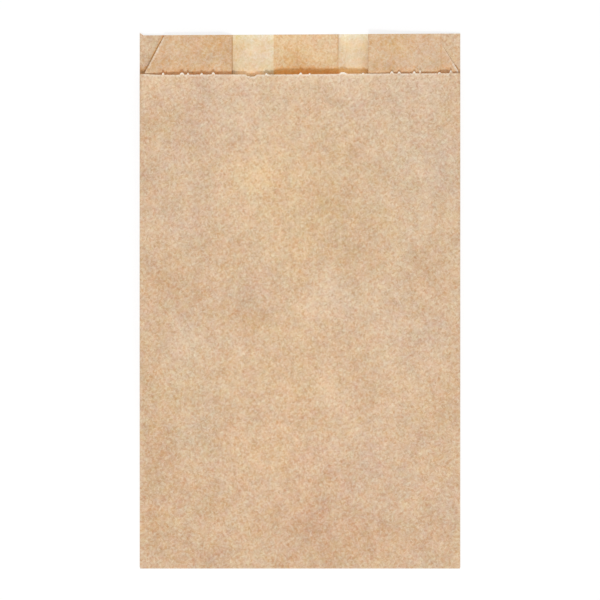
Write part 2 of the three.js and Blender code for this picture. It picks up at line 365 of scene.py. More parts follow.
# On the map of the unfolded sheet: the margin and a rim's width in millimetres, and as a share of
# the map the shortest edge that has a direction
MAP_MARGIN = 4.0
RIM_ON_MAP = 0.3
SHORTEST_ON_MAP = 1e-9


def millimetres(name, description, default):
    """A length that the panel shows, given here in millimetres."""
    return bpy.props.FloatProperty(
        name=name, description=description, default=default * MM,
        subtype="DISTANCE", unit="LENGTH", precision=5,
    )


def colour(name, description, default):
    """A linear colour that the panel shows."""
    return bpy.props.FloatVectorProperty(
        name=name, description=description, default=default,
        size=3, min=0.0, max=1.0, subtype="COLOR",
    )


def number(name, description, default):
    """A plain number that the panel shows."""
    return bpy.props.FloatProperty(name=name, description=description, default=default, min=0.0)


class SheetSizes(bpy.types.PropertyGroup):
    """The folded bag's sizes, its pasted joints and the cut across its mouth."""

    width: millimetres("Width", "Across the bag as it lies", (BAG_HIGH.x - BAG_LOW.x) / MM)
    length: millimetres("Length", "From the bottom fold to the top of the lip", 200.0)
    lip: millimetres("Lip", "Height of the back above the front's cut", 14.89)
    gusset: millimetres("Gusset", "Depth of each side's inward fold", 34.5)
    paper: millimetres("Paper", "Thickness of the paper", 0.08)
    paste: millimetres("Paste", "Thickness of a pasted joint", 0.04)
    seam_edge: millimetres("Seam edge", "Inner edge of the seam, from the middle", 14.4)
    seam_overlap: millimetres("Seam overlap", "How far the back's halves overlap", 24.3)
    seam_ramp: millimetres("Seam ramp", "Width of the upper half's slope beside the seam", 4.0)
    tab_inset: millimetres("Tab inset", "How much narrower the tab's end is on each side", 1.5)
    tab_ramp: millimetres("Tab ramp", "Length of the back's slope beyond the tab", 10.0)
    slant: millimetres("Slant", "Rise of the cut from one side to the other", 0.68)
    cut_start: millimetres("Cut start", "Depth where the left gusset's cut starts", 1.5)
    left_reach: millimetres("Left reach", "Depth where the left gusset's cut meets the lip", 9.3)
    right_start: millimetres("Right start", "Depth where the right gusset's cut starts", 0.55)
    tip_depth: millimetres("Tip depth", "Depth of the torn tip of the right gusset's cut", 0.95)
    tip_rise: millimetres("Tip rise", "Height of the torn tip of the right gusset's cut", 1.3)
    right_reach: millimetres("Right reach", "Depth where the right gusset's cut meets the lip", 6.9)
    knee_depth: millimetres("Knee depth", "Depth where the right gusset's cut turns steep", 6.6)
    knee_drop: millimetres("Knee drop", "How far below the lip that turn lies", 4.6)
    nib_height: millimetres("Nib height", "Height of the sliver at the lip's left corner", 0.9)
    nib_width: millimetres("Nib width", "Width of the sliver at the lip's left corner", 1.4)
    ragged: millimetres("Raggedness", "Unevenness of the cut between its tears", 0.06)


class FoldSprings(bpy.types.PropertyGroup):
    """How far the folds have sprung open since the bag was pressed flat."""

    pressed_gap: millimetres("Pressed gap", "Air between plies at the bottom", 0.12)
    crease_gap: millimetres("Crease gap", "Air inside the side creases at the mouth", 0.9)
    left_pocket: millimetres("Left pocket", "Air inside the left gusset at the mouth", 2.0)
    right_pocket: millimetres("Right pocket", "Air inside the right gusset at the mouth", 0.25)
    inner_gap: millimetres("Inner gap", "Air inside each gusset's inner fold at the mouth", 0.3)
    crown: millimetres("Crown", "How far the front swells above its sides", 1.8)
    rise: millimetres("Rise", "Length over which the bag opens", 110.0)
    left_sag: millimetres("Left sag", "How far the left gusset hangs below the front", 1.6)
    right_sag: millimetres("Right sag", "How far the right gusset hangs below the front", 0.5)
    right_lift: millimetres("Right lift", "How far the right gusset's inner fold rises again", 0.8)
    lift_start: millimetres("Lift start", "Depth where the right gusset begins to rise", 20.0)
    sag_start: millimetres("Sag start", "Depth where a gusset hangs in full", 12.0)
    cockle: millimetres("Cockle", "Height of the front's shallow waves", 0.16)
    seam_lift: millimetres("Seam lift", "How far the seam's inner edge stands up at the lip", 0.5)
    curl: number("Curl", "How steeply the tears along the mouth curl up", 0.7)


class PaperColours(bpy.types.PropertyGroup):
    """The kraft paper's colours, with painted light and painted shade among them."""

    outside: colour("Outside", "The paper's outer face", (0.683, 0.48, 0.311))
    inside: colour("Inside", "The paper's inner face", (0.705, 0.476, 0.289))
    # Painted light: a warmer, lighter fringe just beyond the painted shade
    painted_warm_light: colour("Warmed", "The inner face just beyond an edge's shade", (0.79, 0.515, 0.295))
    seam: colour("Seam", "Inner face of the doubled seam", (0.79, 0.535, 0.297))
    # Painted light: the single ply is drawn paler for light that passes through it from the pale
    # floor
    single: colour("Single ply", "Inner face of the back's single ply", (0.84, 0.65, 0.42))
    bright: colour("Bright single ply", "The single ply at the top of the lip", (0.88, 0.75, 0.52))
    # Painted shade: these five colours stand for the shade beside edges that cover the paper, and
    # in the gussets' corners
    painted_shade: colour("Sheltered", "Paper that light seldom reaches", (0.93, 0.47, 0.2))
    painted_shade_outside: colour("Sheltered outside", "Outer face beside the left cut", (0.8, 0.45, 0.2))
    painted_shade_corner: colour("Hook", "Outer face in the corners below the gussets' cuts", (0.57, 0.31, 0.14))
    painted_shade_seam: colour("Sheltered seam", "The seam where light seldom reaches", (0.9, 0.44, 0.13))
    painted_shade_single: colour("Sheltered ply", "The ply where light seldom reaches", (1.0, 0.62, 0.25))
    # Also painted shade along the left inner fold and the seam's loose edge
    pressed: colour("Pressed line", "A line that an edge has pressed in", (0.52, 0.25, 0.08))
    # Also the painted highlight along the cuts
    fibre: colour("Torn fibre", "Fibres laid bare by a cut or a tear", (0.95, 0.9, 0.81))
    shive: colour("Shive", "Brown specks of bark in the pulp", (0.42, 0.24, 0.12))


class StageLook(bpy.types.PropertyGroup):
    """The floor, the lamps and the camera."""

    floor: millimetres("Floor", "Side of the floor", 3000.0)
    lens: millimetres("Lens", "Focal length", 800.0)
    sensor: millimetres("Sensor", "Width of the sensor", 36.0)
    field: millimetres("Field", "Width of the view at the bag", 224.7)
    aim: millimetres("Aim", "How far above the bag's middle the camera looks", 0.56)
    key: number("Key", "Share of the light that comes from the soft key lamp", 0.35)
    glow: number("Glow", "Brightness of the light that soaks through the front", 0.4)
    fill: number("Fill", "Share of the light that comes from all round", 0.65)


class BagSettings(bpy.types.PropertyGroup):
    """Everything that the panel shows."""

    sheet: bpy.props.PointerProperty(type=SheetSizes)
    springs: bpy.props.PointerProperty(type=FoldSprings)
    colours: bpy.props.PointerProperty(type=PaperColours)
    stage: bpy.props.PointerProperty(type=StageLook)


def smoothstep(value, low, high):
    """0 below low, 1 above high, smooth between them."""
    share = np.clip((value - low) / (high - low), 0.0, 1.0)
    return share * share * (3.0 - 2.0 * share)


def lerp(start, end, share):
    """The value that lies a share of the way from start to end."""
    return start + (end - start) * share


def spaced(points, pitch):
    """Values that pass through the points in order, about a pitch apart."""
    runs = [np.array(points[:1], float)]
    for start, end in zip(points, points[1:]):
        steps = max(1, round(abs(end - start) / pitch))
        runs.append(np.linspace(start, end, steps + 1)[1:])
    return np.concatenate(runs)


def along_edge(grid, rows):
    """Values that follow the rows from the upper end of a grid's columns, and are 0 below."""
    return np.zeros_like(grid) + np.pad(rows, (0, grid.shape[1] - len(rows)))


def with_lines(fixed, lines):
    """Fixed places in order, and the lines between them that keep clear of all others."""
    places = sorted(fixed)
    for line in lines:
        clear = min(abs(line - place) for place in places) > LINE_PITCH
        if clear and places[0] < line < places[-1]:
            places = sorted((*places, line))
    return places


Zone = namedtuple("Zone", "kind place values top")
TONES = ("lightness", "warmth", "pinkness")
MARKS = ("single_ply", "seam_ply", "airy", "cut", "torn", "streak", "corner", *TONES)


class FoldedSheet:
    """The folded sheet's form, in millimetres, worked out from the sizes that the panel shows."""

    def __init__(self, sizes, springs):
        for group in (sizes, springs):
            for name, made in type(group).__annotations__.items():
                in_metres = made.keywords.get("unit") == "LENGTH"
                setattr(self, name, getattr(group, name) / (MM if in_metres else 1.0))
        self.half = self.width / 2
        if self.gusset + self.nib_width > self.half:
            raise ValueError("The gussets are too deep for the bag's width")
        self.bottom_line = BAG_LOW.y / MM
        self.lip_line = self.bottom_line + self.length
        self.mouth_line = self.lip_line - self.lip
        self.tab_line = self.bottom_line + self.lip
        self.seam_outer = self.seam_edge - self.seam_overlap
        self.ply_step = self.paper + self.paste
        self.tab_height = self.paper / 2
        pressed = self.section(self.bottom_line)
        self.bottom_bend = (self.front(pressed, 0.0) - self.tab_height) / 2
        self.fold_line = self.bottom_line + self.paper / 2 + self.bottom_bend

    def section(self, y):
        """Heights of the paper's middle and radii of its bends at stations along the bag."""
        opened = smoothstep(y, self.bottom_line, self.bottom_line + self.rise)
        over_tab = 1.0 - smoothstep(y, self.tab_line, self.tab_line + self.tab_ramp)
        back = self.paper / 2 + self.ply_step * over_tab
        crease = lerp(self.pressed_gap, self.crease_gap, opened)
        back_bend = (self.paper + self.ply_step + crease) / 2
        front_bend = (self.paper + crease) / 2
        inner_bend = (self.paper + lerp(self.pressed_gap, self.inner_gap, opened)) / 2
        shut = back + 2 * back_bend + self.paper + 2 * front_bend
        return SimpleNamespace(y=y, opened=opened, back=back, back_bend=back_bend,
                               front_bend=front_bend, inner_bend=inner_bend, shut=shut)

    def front(self, h, x):
        """Height of the front: a low crown with shallow waves, bent here and there at its edge."""
        across = (x + self.half) / self.width
        pocket = lerp(self.pressed_gap, lerp(self.left_pocket, self.right_pocket, across), h.opened)
        crown = self.crown * (1.0 - (x / self.half) ** 2)
        waves = sum(
            share * np.sin(2 * math.pi * (x / wide + h.y / long) + phase)
            for wide, long, share, phase in COCKLES
        )
        bends = self.flaps(h, x) - self.bent(h, x, *HOLLOW)
        return h.shut + pocket + h.opened * (crown + self.cockle * waves) + bends

    def flaps(self, h, x):
        """How far the flaps stand above the rest of the front's edge."""
        return sum(self.bent(h, x, *flap) for flap in FLAPS)

    def bent(self, h, x, at, half, height, length):
        """Height of a small bend at the front's edge."""
        across = np.clip(np.abs(x + self.half - at) / half, 0.0, 1.0)
        highest = 1.0 + TALLEST_TEAR / length
        rising = np.clip((h.y - self.mouth_line + length) / length, 0.0, highest)
        return height * (1.0 - across ** 4) ** 2 * rising * rising

    def gusset_height(self, h, x):
        """Height of a gusset's front half, which follows the front and hangs a little below it."""
        depth = self.half - np.abs(x)
        sag = np.where(x < 0, self.left_sag, self.right_sag)
        lift = np.where(x < 0, 0.0, self.right_lift)
        hang = sag * smoothstep(depth, self.cut_start, self.sag_start)
        hang = hang - lift * smoothstep(depth, self.lift_start, self.gusset)
        return self.front(h, x) - self.flaps(h, x) - 2 * h.front_bend - h.opened * hang

    def cut_rise(self, x):
        """How far the slant lifts the cuts."""
        return self.slant * x / self.width

    def cut_line(self, x):
        """Upper end of the front panel without its tears."""
        line = self.mouth_line + self.cut_rise(x)
        for at, half, depth in DIPS:
            line = line - depth * np.maximum(0.0, 1.0 - ((x + self.half - at) / half) ** 2)
        return line

    def lip_top(self, x):
        """Upper end of the back and of the gussets' back halves."""
        nib = self.nib_height * np.maximum(0.0, 1.0 - (x + self.half) / self.nib_width)
        return self.lip_line + self.cut_rise(x) + nib

    def tear_height(self, x):
        """How far the tears stand above the front's cut."""
        place = x + self.half
        rises = 0.0
        for at, left, right, height in TEARS:
            away = np.abs(place - at) / np.where(place < at, left, right)
            rises = rises + height * np.maximum(0.0, 1.0 - away ** TEAR_ROUNDNESS)
        return rises

    def unevenness(self, x):
        """How far the cut wanders between its tears."""
        wander = sum(np.sin(pace * x + phase) for pace, phase in RAGGED_WAVES)
        return self.ragged * wander / len(RAGGED_WAVES)

    def mouth_top(self, x):
        """Upper end of the front panel."""
        return self.cut_line(x) + self.tear_height(x) + self.unevenness(x)

    def gusset_top(self, x):
        """Upper end of a gusset's front half, cut off at its corner."""
        depth = self.half - np.abs(x)
        left = np.interp(depth, (self.cut_start, self.left_reach), (0.0, self.lip))
        bends = (self.right_start, self.tip_depth, self.knee_depth, self.right_reach)
        right = np.interp(depth, bends, (0.0, self.tip_rise, self.lip - self.knee_drop, self.lip))
        return self.mouth_line + np.where(x < 0, left, right) + self.cut_rise(x)

    # Zones of the sheet: each gives x and z of its columns at the stations of a section

    def back_left(self, x, h):
        """The back's left half, which lies on the right one at the seam and is loose at the lip."""
        ramp = np.clip((x - self.seam_outer + self.seam_ramp) / self.seam_ramp, 0.0, 1.0)
        loose = smoothstep(x, self.seam_edge - self.seam_ramp, self.seam_edge)
        loose = loose * smoothstep(h.y, self.lip_line - SEAM_LOOSE * self.lip, self.lip_line)
        return x, h.back + self.ply_step * ramp + self.seam_lift * loose

    def back_right(self, x, h):
        """The back's right half, which lies flat."""
        return x, h.back

    def front_panel(self, x, h):
        """The front, with its tears curled up."""
        torn = np.maximum(0.0, h.y - self.cut_line(x))
        return x, self.front(h, x) + self.curl * torn

    def gusset_back(self, depth, h, side):
        """A gusset's back half: straight between its two bends, but under its front half."""
        low_x, low_z, low_radius = self.back_crease(h, side)
        high_x, high_z, high_radius = self.inner_fold(h, side)
        along = (low_x - self.half + depth) / (low_x - high_x)
        straight = lerp(low_z + low_radius, high_z - high_radius, along)
        x = side * (self.half - depth)
        return x, np.minimum(straight, self.gusset_height(h, x) - PLIES_APART * h.inner_bend)

    def gusset_front(self, depth, h, side):
        """A gusset's front half."""
        x = side * (self.half - depth)
        return x, self.gusset_height(h, x)

    def bend(self, angle, h, side, outward, circle):
        """A round bend, from its lower ply to its upper one."""
        x, z, radius = circle(h, side)
        return side * (x + outward * radius * np.cos(angle)), z + radius * np.sin(angle)

    # Bends of one side: each gives x and z of its centre, with x from the middle of the bag, and
    # its radius

    def back_crease(self, h, side):
        return self.half - self.paper / 2 - h.back_bend, h.back + h.back_bend, h.back_bend

    def inner_fold(self, h, side):
        x = self.half - self.gusset + self.paper / 2 + h.inner_bend
        return x, self.gusset_height(h, side * x) - h.inner_bend, h.inner_bend

    def front_crease(self, h, side):
        x = self.half - self.paper / 2 - h.front_bend
        return x, self.front(h, side * x) - h.front_bend, h.front_bend

    def side_zones(self, side):
        """The zones of one side, from its back crease round the gusset to its front crease."""
        angles = np.linspace(-0.5, 0.5, BEND_STEPS + 1) * math.pi
        inner = self.gusset - self.cut_start
        left_cut = (self.left_reach, self.cut_start)
        right_cut = (self.right_reach, self.knee_depth, self.tip_depth, self.right_start)
        cut = left_cut if side < 0 else right_cut
        lines = with_lines((cut[0], inner), [self.half - side * x for x in self.lines()])
        on_back = [depth for depth in reversed(cut) if depth > self.nib_width]
        back_depths = spaced((self.nib_width, *on_back, inner), FLAT_PITCH)
        whole_depths = spaced(lines[::-1], FLAT_PITCH)
        front_depths = np.append(whole_depths, spaced(cut, CUT_PITCH)[1:])
        back_crease = partial(self.bend, side=side, outward=1, circle=self.back_crease)
        gusset_back = partial(self.gusset_back, side=side)
        fold = partial(self.bend, side=side, outward=-1, circle=self.inner_fold)
        gusset_front = partial(self.gusset_front, side=side)
        front_crease = partial(self.bend, side=side, outward=1, circle=self.front_crease)
        return [
            Zone("back_crease", back_crease, angles, self.lip_top),
            Zone("gusset_back", gusset_back, back_depths, self.lip_top),
            Zone("fold", fold, angles, self.lip_top),
            Zone("gusset_front", gusset_front, front_depths, self.gusset_top),
            Zone("front_crease", front_crease, angles, self.mouth_top),
        ]

    def lines(self):
        """Places across the bag at which pressed lines and tears begin, are strongest and end."""
        streaks = [at + side * half for at, half, _, _ in STREAKS_AND_SHADE for side in (-1, 0, 1)]
        tears = [at + side for at, left, right, _ in TEARS for side in (-left, 0.0, right)]
        return [*streaks, *(place - self.half for place in tears)]

    def streaks(self, x, y):
        """Strength of the pressed lines on the lip."""
        below = self.lip_top(x) - y
        pressed = 0.0
        for at, half, reach, strength in STREAKS_AND_SHADE:
            across = np.maximum(0.0, 1.0 - np.abs(x - at) / half)
            pressed = pressed + strength * across * smoothstep(below / reach, *STREAK_FADE)
        return pressed

    def front_columns(self):
        """Places across the front panel, closer together at its tears."""
        end = self.half - self.cut_start
        even = spaced((-end, end), CUT_PITCH)
        tears = [
            spaced((at - left, at, at + right), TEAR_PITCH) - self.half
            for at, left, right, _ in TEARS
        ]
        clear = [x for x in even if all(abs(x - tear).min() > TEAR_PITCH for tear in tears)]
        inside = [x for tear in tears for x in tear if abs(x) < end]
        return np.array(sorted({*clear, *inside, -end, end}))

    def zones(self):
        """All zones in order, from the seam's inner edge round the bag to its outer edge."""
        flat_end = self.half - self.nib_width
        hair = self.paper / 2
        left = {self.seam_edge, self.seam_edge - self.seam_ramp / 2, self.seam_outer + hair,
                self.seam_outer - hair, self.seam_outer - self.seam_ramp, -flat_end}
        right = {flat_end, self.seam_edge + hair, self.seam_edge - hair, self.seam_outer}
        left, right = (with_lines(places, self.lines())[::-1] for places in (left, right))
        return [
            Zone("back", self.back_left, spaced(left, FLAT_PITCH), self.lip_top),
            *self.side_zones(-1),
            Zone("front", self.front_panel, self.front_columns(), self.mouth_top),
            *[zone._replace(values=zone.values[::-1]) for zone in reversed(self.side_zones(1))],
            Zone("back", self.back_right, spaced(right, FLAT_PITCH), self.lip_top),
        ]

    def stations(self, top, slope):
        """Places down each column: close together below its end, then shared by all columns."""
        edge = top - EDGE_ROWS * np.hypot(1.0, slope)
        first = self.mouth_line - self.lip
        between = lerp(edge[:, -1:], first, BETWEEN_ROWS)
        bends = (self.tab_line + self.tab_ramp, self.tab_line, self.fold_line)
        shared = spaced((first, *bends), ROW_PITCH)[1:]
        return np.hstack((edge, between, np.broadcast_to(shared, (len(top), len(shared)))))

    def cut_slope(self, x):
        """Slope of a gusset's cut, at most that of its straight part."""
        step = self.paper
        slope = (self.gusset_top(x + step) - self.gusset_top(x - step)) / (2 * step)
        return np.clip(slope, -self.steepness(x), self.steepness(x))

    def steepness(self, x):
        """Slope of the long straight part of a gusset's cut."""
        left = self.lip / (self.left_reach - self.cut_start)
        right = (self.lip - self.knee_drop) / (self.knee_depth - self.right_start)
        return np.where(x < 0, left, right)

    def grid(self, zone):
        """The points of a zone, as columns by stations by three."""
        values = zone.values[:, None]
        mouth_x = zone.place(values, self.section(self.lip_line))[0] + 0.0 * values
        slope = self.cut_slope(mouth_x) if zone.kind == "gusset_front" else 0.0 * values
        y = self.stations(zone.top(mouth_x), slope)
        x, z = zone.place(values, self.section(y))
        return np.stack(np.broadcast_arrays(x, y, z), axis=-1)

    def gap_at_mouth(self, zone, cover):
        """Air between a zone's columns and what covers them, at the mouth."""
        h = self.section(self.mouth_line)
        x, z = zone.place(zone.values[:, None], h)
        return np.maximum(cover(h, x) - z, self.paper)

    def marks(self, zone, points):
        """What a zone's paper shows, for its outside and its inside in turn."""
        x, y, _ = np.moveaxis(points, -1, 0)
        none = np.zeros_like(x)
        shown = {name: [none, none] for name in MARKS}
        shown["beyond_cover"] = [none + CLEAR] * 2
        shown["below_lip"] = [self.lip_top(x) - y] * 2
        if zone.kind in ("back", "fold", "gusset_front"):
            self.mark_under_front(shown, zone, x, y)
        if zone.kind in ("gusset_back", "back_crease"):
            self.mark_under_gusset(shown, zone, x, y)
        if zone.kind == "gusset_front":
            self.mark_gusset_cut(shown, x, y)
        if zone.kind == "front":
            self.mark_front_edge(shown, x, y)
        face, stains_and_shade = STAINED_AND_SHADED.get(zone.kind, (0, ()))
        for at_x, at_y, radius, *tones in stains_and_shade:
            strength = np.exp(-((x - at_x) ** 2 + (y - at_y) ** 2) / radius ** 2)
            for name, tone in zip(TONES, tones):
                shown[name][face] = shown[name][face] + tone * strength
        return {name: np.array(pair).reshape(2, -1) for name, pair in shown.items()}

    def mark_under_front(self, shown, zone, x, y):
        """The inside beyond the front's cut: its plies, pressed lines and lines of painted shade,
        and the front's painted shade.
        """
        gap = self.gap_at_mouth(zone, self.front)
        if zone.kind == "back":
            left = zone.place == self.back_left
            single = x < self.seam_outer if left else x > self.seam_edge
            shown["single_ply"][1] = 1.0 * single
            shown["seam_ply"][1] = 1.0 * (left & ~single)
            shown["airy"][1] = single * np.maximum(0.0, 1.0 - (gap / AIRY_GAP) ** 3)
        else:
            unbent = gap - self.flaps(self.section(self.mouth_line), x)
            shown["airy"][1] = np.clip(1.0 - unbent / GUSSET_GAP, 0.0, 1.0)
            gap = np.minimum(gap, GUSSET_GAP)
        tears = self.tear_height(x)
        raised = gap + self.curl * np.maximum(0.0, tears)
        shown["beyond_cover"][1] = (y - self.cut_line(x) - tears) / (SHADE_REACH * raised)
        shown["streak"][1] = self.streaks(x, y)

    def mark_under_gusset(self, shown, zone, x, y):
        """The outside inside a gusset, with painted shade beside the gusset's cut and painted light
        against the pocket's shade.
        """
        near_crease = np.exp(-((self.half - np.abs(x)) / CREASE_SHADE_DEPTH) ** 2)
        gap = self.gap_at_mouth(zone, self.gusset_height)
        reach = CUT_SHADE_REACH * gap * (1.0 + CREASE_SHADE * near_crease)
        away = (y - self.gusset_top(x)) / np.hypot(1.0, self.steepness(x))
        shown["beyond_cover"][0] = away / np.where(x < 0, reach, HOOK_REACH)
        shown["corner"][0] = np.where(x < 0, near_crease, 1.0)
        # Painted light against the pocket's shade
        shown["lightness"][0] = np.full_like(x, POCKET_PAINTED_LIGHT)

    def mark_gusset_cut(self, shown, x, y):
        """The pale edge of a gusset's cut, bare fibres with a painted highlight, ripped at the foot
        of the right one.
        """
        bare_and_highlight, ripped = 1.0, 0.0
        if x.mean() > 0:
            above = y - self.mouth_line
            bare_and_highlight = lerp(UPPER_BARE_AND_HIGHLIGHT, 1.0, smoothstep(above, *BARE_AND_HIGHLIGHT_UP_TO))
            tip = np.exp(-((above - self.tip_rise) / TIP_REACH) ** 2)
            ripped = bare_and_highlight * (RIPPED * smoothstep(above, *RIPPED_FROM) + TIP_RIPPED * tip)
        cut_off = self.half - np.abs(x) < self.left_reach - CUT_PITCH / 2
        shown["cut"] = [along_edge(x, CUT_NEARNESS) * bare_and_highlight * cut_off] * 2
        shown["torn"] = [along_edge(x, TORN_NEARNESS) * ripped] * 2

    def mark_front_edge(self, shown, x, y):
        """The front's cut, pale with bare fibres and a painted highlight, and painted light glowing
        through beside it.
        """
        torn = np.clip(self.tear_height(x) / BARE_TEAR, 0.0, 1.0)
        shown["cut"] = [along_edge(x, CUT_NEARNESS)] * 2
        shown["torn"] = [along_edge(x, TORN_NEARNESS) * torn] * 2
        fold = self.half - self.gusset
        changes = [side + fade for side in (-fold, fold) for fade in (-GLOW_FADE, GLOW_FADE)]
        between, over_left, over_right = PAINTED_MOUTH_GLOW
        # Painted light: the front is drawn lighter toward its cut
        glow = np.interp(x, changes, (over_left, between, between, over_right))
        shown["lightness"][0] = glow * np.exp((y - self.mouth_top(x)) / GLOW_REACH)

    def tab_grid(self, fold_x):
        """The front's tongue, from round the bottom fold to its end under the bag."""
        x = fold_x[:, None]
        angle = math.pi * (0.5 + np.arange(1, BEND_STEPS + 1) / BEND_STEPS)
        turn_y = self.fold_line + self.bottom_bend * np.cos(angle)
        turn_z = self.tab_height + self.bottom_bend * (1.0 + np.sin(angle))
        end = self.tab_line + self.unevenness(x) - self.tear_height(x) / 2
        flat_y = np.hstack((lerp(self.fold_line, end, BETWEEN_ROWS[1:-1]), end - EDGE_ROWS[::-1]))
        y = np.hstack((np.broadcast_to(turn_y, (len(x), len(turn_y))), flat_y))
        z = np.append(turn_z, np.full(flat_y.shape[1], self.tab_height))
        narrower = self.tab_inset / self.half * np.maximum(0.0, y - self.fold_line) / self.lip
        return np.stack(np.broadcast_arrays(x * (1.0 - narrower), y, z), axis=-1)


def run_lengths(points, axis):
    """Distances along lines of points from their first ones."""
    steps = np.linalg.norm(np.diff(points, axis=axis), axis=-1)
    return np.insert(np.cumsum(steps, axis=axis), 0, 0.0, axis=axis)


def out_of_bag(points):
    """Unit vectors out of the bag at a grid's points."""
    out = np.cross(np.gradient(points, axis=1), np.gradient(points, axis=0))
    return out / np.linalg.norm(out, axis=-1, keepdims=True)


def cells(numbers):
    """The four corners of each cell of a grid of vertex numbers."""
    corners = (numbers[:-1, :-1], numbers[:-1, 1:], numbers[1:, 1:], numbers[1:, :-1])
    return np.stack(corners, axis=-1).reshape(-1, 4)


def sheet_layout(form):
    """The folded sheet's middle: points, directions out, places on the blank, marks and faces."""
    zones = form.zones()
    grids = [form.grid(zone) for zone in zones]
    starts = np.cumsum([0, *map(len, grids)])
    body = np.concatenate(grids)
    columns, stations = body.shape[:2]
    middle = len(zones) // 2
    front = slice(starts[middle] - 1, starts[middle + 1] + 1)
    tab = form.tab_grid(body[front, -1, 0])
    long_front = np.concatenate((body[front], tab), axis=1)

    outs = out_of_bag(body)
    front_outs = out_of_bag(long_front)
    outs[front] = front_outs[:, :stations]
    across = run_lengths(body[:, len(EDGE_ROWS) + len(BETWEEN_ROWS)], 0)[:, None]
    along_tab = form.fold_line - run_lengths(long_front[:, stations - 1:], 1)[:, 1:]

    def places(across, along):
        return np.stack(np.broadcast_arrays(across, along), axis=-1).reshape(-1, 2)

    tab_marks = form.marks(Zone("tab", None, None, None), tab)
    all_marks = [form.marks(zone, grid) for zone, grid in zip(zones, grids)] + [tab_marks]
    numbers = np.arange(columns * stations).reshape(columns, stations)
    tab_numbers = numbers.size + np.arange(tab.shape[0] * tab.shape[1]).reshape(tab.shape[:2])
    below_front = np.hstack((numbers[front, -1:], tab_numbers))
    return SimpleNamespace(
        points=np.concatenate((body.reshape(-1, 3), tab.reshape(-1, 3))),
        outs=np.concatenate((outs.reshape(-1, 3), front_outs[:, stations:].reshape(-1, 3))),
        places=np.concatenate((places(across, body[..., 1]), places(across[front], along_tab))),
        marks={name: np.hstack([marks[name] for marks in all_marks]) for name in tab_marks},
        faces=np.concatenate((cells(numbers), cells(below_front))),
    )


def open_edges(faces):
    """Directed edges that only one face has."""
    edges = np.concatenate([
        np.stack((faces[:, i], faces[:, (i + 1) % 4]), axis=-1) for i in range(4)
    ])
    undirected = np.sort(edges, axis=1)
    _, inverse, counts = np.unique(undirected, axis=0, return_inverse=True, return_counts=True)
    return edges[counts[inverse.ravel()] == 1]


def unfolded_map(layout, edges, faces):
    """The faces' corners on a square map: the outside with its rims, and the inside above it."""
    low = layout.places.min(axis=0) - MAP_MARGIN
    size = layout.places.max(axis=0) + MAP_MARGIN - low
    side = max(size[0], 2 * size[1])
    outer = (layout.places - low) / side
    inner = outer + (0.0, size[1] / side)
    on_map = np.concatenate((outer, inner))[faces]
    starts, ends = outer[edges[:, 0]], outer[edges[:, 1]]
    along = ends - starts
    beyond = np.stack((along[:, 1], -along[:, 0]), axis=-1)
    lengths = np.linalg.norm(beyond, axis=1, keepdims=True)
    beyond *= RIM_ON_MAP / side / np.maximum(lengths, SHORTEST_ON_MAP)
    on_map[-len(edges):, 2] = starts + beyond
    on_map[-len(edges):, 3] = ends + beyond
    return on_map


def thick_mesh(name, layout, thickness):
    """A closed mesh of even thickness round the sheet's middle, with its map and its marks."""
    count = len(layout.points)
    offset = layout.outs * thickness / 2
    points = np.concatenate((layout.points + offset, layout.points - offset))
    edges = open_edges(layout.faces)
    rims = np.stack((edges[:, 1], edges[:, 0], edges[:, 0] + count, edges[:, 1] + count), axis=-1)
    # Each inner quad begins at its outer one's corner, so that both split along the same diagonal
    faces = np.concatenate((layout.faces, layout.faces[:, (0, 3, 2, 1)] + count, rims))

    mesh = bpy.data.meshes.new(name)
    mesh.from_pydata((points * MM).tolist(), [], faces.tolist())
    if mesh.validate(clean_customdata=False):
        raise ValueError("The folded sheet has faulty faces")
    mesh.shade_smooth()
    mesh.set_sharp_from_angle(angle=SHARP_TURN)
    on_map = unfolded_map(layout, edges, faces)
    mesh.uv_layers.new(name="OFBake").data.foreach_set("uv", on_map.astype(np.float32).ravel())

    cos, sin = math.cos(GRAIN), math.sin(GRAIN)
    turned = layout.places @ ((cos, -sin), (sin, cos))
    places = np.concatenate((turned, turned + (INSIDE_SHIFT, 0.0)))
    places = np.hstack((places, np.zeros((2 * count, 1))))
    mesh.attributes.new("place", "FLOAT_VECTOR", "POINT").data.foreach_set("vector", places.ravel())
    for key, value in (*layout.marks.items(), ("inside", np.repeat((0.0, 1.0), count))):
        mesh.attributes.new(key, "FLOAT", "POINT").data.foreach_set("value", np.ravel(value))
    return mesh


